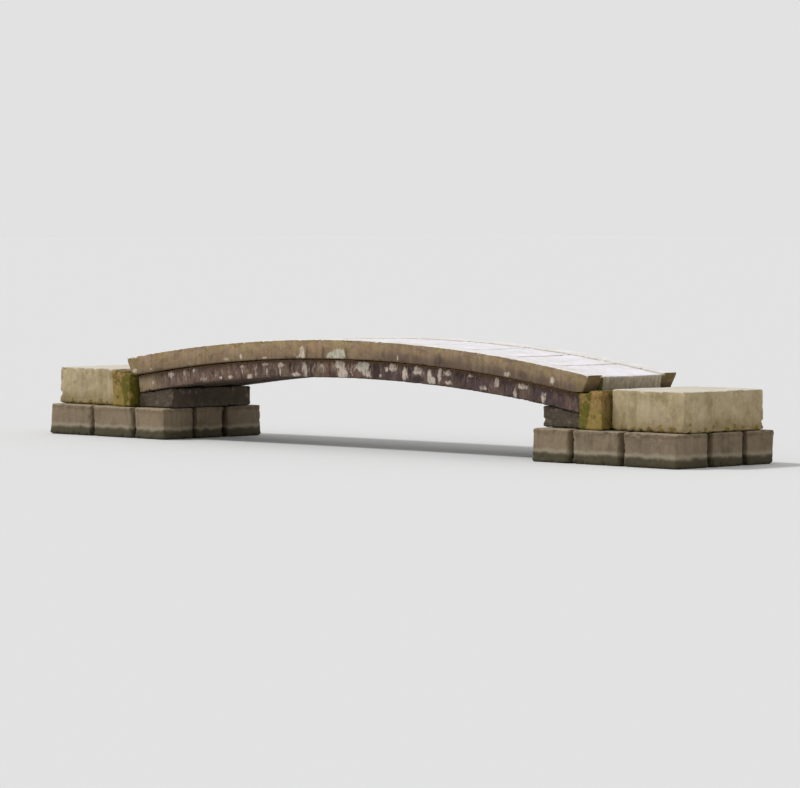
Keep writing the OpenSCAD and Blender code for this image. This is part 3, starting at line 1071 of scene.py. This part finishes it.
# %% Block finish
def block_finish(name, dark, light, mossy):
    coat = Coat(name)
    bare_stone(coat, dark, light)
    rain_streaks(coat, shade(82, 70, 56), 0.45)
    dirt_in_hollows(coat, shade(78, 66, 52), shade(152, 136, 114))
    lichen_crust(coat, shade(172, 168, 150), thin=0.03)
    # Tops are painted paler: partly bleaching, partly painted sunlight.
    bleached_with_painted_sunlight(coat, shade(172, 162, 142), 0.45)
    green_places = coat.upwards.step(0.3, 0.9) * mossy - 0.12
    moss_cushions(coat, green_places, shade(62, 62, 22), shade(112, 108, 42))
    level = coat.height + coat.noise(9) * 0.06
    lime = level.step(0.155, 0.125) * level.step(0.100, 0.118)
    coat.lay(lime * 0.45, shade(168, 160, 140))
    algae = level.step(0.125, 0.085)
    coat.lay(algae * 0.85, shade(58, 56, 36))
    return coat.finish(depth=0.007)


# %% [markdown]
# The end stones are rusty brown and golden at the foot, with dark moss where they keep damp beside the
# girders. The landing stones are light tan, with streaks down their sides and a little moss at the foot.

# %% End stone and landing finishes
def end_stone_finish():
    coat = Coat("mossy end stone")
    bare_stone(coat, shade(124, 94, 40), shade(172, 138, 76))
    dirt_in_hollows(coat, shade(84, 64, 26), shade(158, 136, 88))
    foot = coat.height.step(0.47, 0.40)
    coat.lay(foot * 0.4, shade(140, 126, 54))
    lichen_crust(coat, shade(200, 194, 160), thin=0.09)
    beside_girder = coat.along.maths("ABSOLUTE").step(2.96, 2.88) * 0.8
    country = coat.noise(4.5, detail=3).step(0.42, 0.60) * 0.5
    moss_cushions(coat, beside_girder.maths("MAXIMUM", country), shade(62, 60, 8), shade(118, 108, 26))
    return coat.finish(depth=0.008)


def landing_finish():
    coat = Coat("light tan landing stone")
    bare_stone(coat, shade(164, 145, 108), shade(204, 187, 148))
    mottled(coat, [(shade(208, 188, 162), 5, 0.55), (shade(136, 122, 84), 8, 0.50)])
    rain_streaks(coat, shade(130, 112, 80), 0.25, width=0.05)
    rain_streaks(coat, shade(216, 200, 164), 0.35, width=0.08, mirror=True)
    dirt_in_hollows(coat, shade(112, 94, 62), shade(204, 188, 148))
    lichen_crust(coat, shade(206, 202, 186), thin=0.02)
    # Tops are painted paler: partly bleaching, partly painted sunlight.
    bleached_with_painted_sunlight(coat, shade(224, 219, 208), 0.75)
    foot = coat.height.step(0.42, 0.27)
    coat.lay(foot * 0.5, shade(112, 92, 44))
    moss_cushions(coat, foot * 0.6, shade(86, 72, 18), shade(146, 124, 40))
    return coat.finish(depth=0.006)


# %% [markdown]
# ## The pieces take their places
# Each stone gets its finish, is shaded smooth, rides on the bridge's one body, and stands for its CAD node.

# %% Dress the stones
course_finish = block_finish("grey-brown course block", shade(108, 90, 68), shade(144, 125, 96), 0.42)
# The bearing stones' colours are very dark: painted shade under the girders.
shaded_bearing_finish = block_finish("damp bearing stone", shade(52, 42, 33), shade(80, 67, 53), 0.25)
families = [
    (kerbs, "kerb", kerb_finish()),
    (girders, "girder", girder_finish()),
    (slabs, "deck_slab", deck_finish()),
    (blocks, "block", course_finish),
    (bearings, "bearing_stone", shaded_bearing_finish),
    (end_stones, "end_stone", end_stone_finish()),
    (landings, "landing_stone", landing_finish()),
]
for stones, slot, finish in families:
    for stone in stones:
        stone.vertex_groups.clear()
        stone.data.materials.append(finish)
        select_only(stone)
        bpy.ops.object.shade_smooth()
        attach(stone, BODY)
        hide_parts(stone.name.removesuffix("_weathered"))
    triangles = sum(2 * len(stone.data.polygons) for stone in stones)
    print(f"{slot}: {len(stones)} stones, about {triangles} triangles")

# %% [markdown]
# ## Light, floor and camera
# A white sky gives the plain light, and one large soft lamp high on the left gives the stones their form and
# puts the kerb's narrow shadow on the girder. The floor is pale, so that it throws light up under the bridge,
# and to the camera the sky has the floor's own brightness.

# %% Sky, lamp and floor
SKY_LIGHT = 0.60
SKY_SEEN = 0.76
FLOOR_GREY = 0.74
LAMP_STRENGTH = 1.75
LAMP_SOFTNESS = math.radians(9)
LAMP_DIRECTION = Vector((6.0, 4.4, -9.0))


def soft_sky():
    """A white sky that lights with one strength, and shows itself with another."""
    world = bpy.data.worlds.new("soft sky")
    world.use_nodes = True
    tree = world.node_tree
    lights = tree.nodes["Background"]
    lights.inputs["Color"].default_value = (1, 1, 1, 1)
    lights.inputs["Strength"].default_value = SKY_LIGHT
    seen = put(tree, "ShaderNodeBackground", {"Color": (SKY_SEEN, SKY_SEEN, SKY_SEEN, 1), "Strength": 1.0})
    ray = put(tree, "ShaderNodeLightPath").outputs
    looked_at = Amount(tree, ray["Is Camera Ray"])
    for other in ("Is Glossy Ray", "Is Transmission Ray"):
        looked_at = looked_at.maths("MAXIMUM", ray[other])
    both = put(tree, "ShaderNodeMixShader", {0: looked_at, 1: lights.outputs[0], 2: seen.outputs[0]})
    tree.links.new(both.outputs[0], tree.nodes["World Output"].inputs["Surface"])
    return world


bpy.context.scene.world = soft_sky()
bpy.ops.object.light_add(type="SUN", location=(-6, -6, 9))
lamp = bpy.context.object
lamp.name = "soft lamp"
lamp.data.energy = LAMP_STRENGTH
lamp.data.angle = LAMP_SOFTNESS
lamp.rotation_euler = LAMP_DIRECTION.to_track_quat("-Z", "Y").to_euler()

bpy.ops.mesh.primitive_plane_add(size=400, location=(0, 0, 0))
floor = bpy.context.object
floor.name = "floor"
floor_material = bpy.data.materials.new("pale floor")
floor_material.use_nodes = True
floor_shader = floor_material.node_tree.nodes["Principled BSDF"].inputs
floor_shader["Base Color"].default_value = (FLOOR_GREY, FLOOR_GREY, FLOOR_GREY, 1)
floor_shader["Roughness"].default_value = 0.95
floor_shader["Specular IOR Level"].default_value = 0.1
floor.data.materials.append(floor_material)
floor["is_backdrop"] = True
print("lamp of strength", LAMP_STRENGTH, "under a sky of", SKY_LIGHT)

# %% [markdown]
# The camera stands where the photographer stood: 37 m away, 46 degrees off the bridge's front towards its
# right end, and 2 m above the water. Only the lens is longer, so that the bridge fills the picture.

# %% Camera
CAMERA_DISTANCE = 37.3
CAMERA_TURN = math.radians(46.1)
CAMERA_HEIGHT = 2.05
LOOK_AT = Vector((0.13, 0, 0.46))
away = (math.sin(CAMERA_TURN), -math.cos(CAMERA_TURN))
camera_at = Vector((CAMERA_DISTANCE * away[0], CAMERA_DISTANCE * away[1], CAMERA_HEIGHT))
bpy.ops.object.camera_add(location=camera_at)
camera = bpy.context.object
camera.name = "camera"
camera.rotation_euler = (LOOK_AT - camera_at).to_track_quat("-Z", "Y").to_euler()
camera.data.sensor_width = 36
camera.data.lens = 198
camera.data.clip_end = 500
bpy.context.scene.camera = camera
bpy.context.scene.view_settings.view_transform = "Standard"
print("camera at", [round(v, 2) for v in camera_at], "with a lens of", camera.data.lens, "mm")

# %% [markdown]
# ## The last look at the sizes
# The dressed bridge has to stay inside the box of its solids, because wear only takes stone away. So both
# boxes are written down, one beside the other.

# %% Compare the sizes and finish
visual_low, visual_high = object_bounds()
size = {"cad": [list(cad_low), list(cad_high)], "visual": [list(visual_low), list(visual_high)]}
print("CAD box", size["cad"], "visual box", size["visual"])
